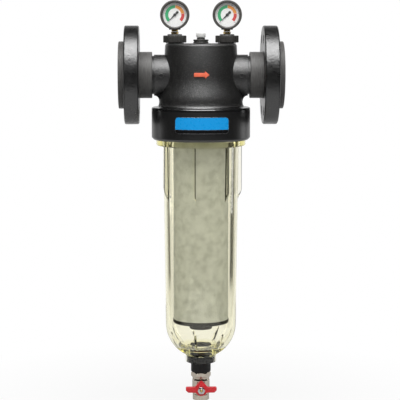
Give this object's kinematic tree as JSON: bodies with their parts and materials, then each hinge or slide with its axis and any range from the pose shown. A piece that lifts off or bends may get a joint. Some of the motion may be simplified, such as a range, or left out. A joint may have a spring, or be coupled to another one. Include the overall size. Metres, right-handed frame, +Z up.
{
  "type": "self cleaning filter",
  "caption": "Upright water filter with flanged ports, pressure gauges, clear ribbed bowl over a felt element, air bleed and drain ball valve.",
  "frame": {"origin": "on the vertical axis, level with the lower end of the drain valve", "axes": "+Z up, +X along the flow from inlet to outlet, the dials, label and drain handle face -Y"},
  "size_m": [0.3094, 0.1869, 0.7651],
  "materials": {
    "head_plastic": "moulded black, fine grain above, satin collar",
    "pvc_grey": "turned dark grey pipe plastic",
    "flange_black": "satin black coating with soft edges",
    "rubber": "black seal rubber",
    "label_blue": "blank blue film plate",
    "arrow_red": "orange red moulded arrow",
    "white_plastic": "white moulded plastic",
    "felt": "light grey felt",
    "brass": "turned brass",
    "gauge_black": "glossy black case",
    "dial": "white printed dial",
    "lens": "clear window",
    "pointer": "black painted needle",
    "knob_white": "white moulded knob",
    "bowl_clear": "clear straw tinted moulding",
    "nickel": "nickel plated brass",
    "seat_white": "white seat plastic",
    "handle_red": "red painted die casting",
    "steel": "bright zinc plated"
  },
  "bodies": {
    "housing": {"head": "head_plastic", "label_plate": "label_blue", "flow_arrow": "arrow_red", "inlet_stub": "pvc_grey", "outlet_stub": "pvc_grey", "inlet_port_seal": "rubber", "outlet_port_seal": "rubber", "vane_ring": "white_plastic", "element_top": "head_plastic", "element_seal": "rubber", "support_cage": "white_plastic", "filter_sleeve": "felt", "base_cap": "head_plastic", "bleed_seat": "head_plastic", "inlet_gauge_plug": "head_plastic", "inlet_plug_seal": "rubber", "inlet_gauge_stem": "brass", "inlet_gauge_case": "gauge_black", "inlet_gauge_bezel": "gauge_black", "inlet_gauge_dial": "dial", "inlet_gauge_lens": "lens", "outlet_gauge_plug": "head_plastic", "outlet_plug_seal": "rubber", "outlet_gauge_stem": "brass", "outlet_gauge_case": "gauge_black", "outlet_gauge_bezel": "gauge_black", "outlet_gauge_dial": "dial", "outlet_gauge_lens": "lens"},
    "inlet_ring": {"inlet_backing_ring": "flange_black"},
    "outlet_ring": {"outlet_backing_ring": "flange_black"},
    "inlet_needle": {"inlet_pointer": "pointer"},
    "outlet_needle": {"outlet_pointer": "pointer"},
    "bowl_carrier": {"bowl_seal": "rubber"},
    "bowl_group": {"bowl": "bowl_clear", "drain_gasket": "rubber", "drain_bushing": "head_plastic", "valve_body": "nickel", "valve_end": "nickel", "upper_ball_seat": "seat_white", "lower_ball_seat": "seat_white", "stem_packing": "seat_white", "gland_nut": "nickel"},
    "valve_spindle": {"valve_ball": "nickel", "valve_stem": "brass", "valve_handle": "handle_red", "handle_nut": "steel"},
    "bleed_carrier": {"bleed_seal": "rubber"},
    "bleed_screw": {"bleed_knob": "knob_white"}
  },
  "joints": [
    {"name": "inlet_ring_spin", "type": "hinge", "parent": "housing", "child": "inlet_ring", "pos_m": [-0.1299, 0, 0.6253], "axis": [1, 0, 0], "continuous": true},
    {"name": "outlet_ring_spin", "type": "hinge", "parent": "housing", "child": "outlet_ring", "pos_m": [0.1299, 0, 0.6253], "axis": [1, 0, 0], "continuous": true},
    {"name": "inlet_pointer_turn", "type": "hinge", "parent": "housing", "child": "inlet_needle", "pos_m": [-0.049, 0, 0.7376], "axis": [0, 1, 0], "range_deg": [0, 270], "stiffness_Nm_per_rad": 0.0005},
    {"name": "outlet_pointer_turn", "type": "hinge", "parent": "housing", "child": "outlet_needle", "pos_m": [0.049, 0, 0.7376], "axis": [0, 1, 0], "range_deg": [0, 270], "stiffness_Nm_per_rad": 0.0005},
    {"name": "bowl_drop", "type": "slide", "parent": "housing", "child": "bowl_carrier", "axis": [0, 0, -1], "range_m": [0, 0.03]},
    {"name": "bowl_turn", "type": "hinge", "parent": "bowl_carrier", "child": "bowl_group", "pos_m": [0, 0, 0.5], "axis": [0, 0, -1], "range_deg": [0, 1800]},
    {"name": "drain_valve_turn", "type": "hinge", "parent": "bowl_group", "child": "valve_spindle", "pos_m": [0, 0, 0.0267], "axis": [0, -1, 0], "range_deg": [0, 90]},
    {"name": "bleed_rise", "type": "slide", "parent": "housing", "child": "bleed_carrier", "axis": [0, 0, 1], "range_m": [0, 0.003]},
    {"name": "bleed_turn", "type": "hinge", "parent": "bleed_carrier", "child": "bleed_screw", "pos_m": [0, 0, 0.69], "axis": [0, 0, 1], "range_deg": [0, 720]}
  ],
  "couplings": [
    {"joint": "bowl_drop", "follows": "bowl_turn", "m_per_rad": 0.00095492},
    {"joint": "bleed_rise", "follows": "bleed_turn", "m_per_rad": 0.00023873}
  ]
}
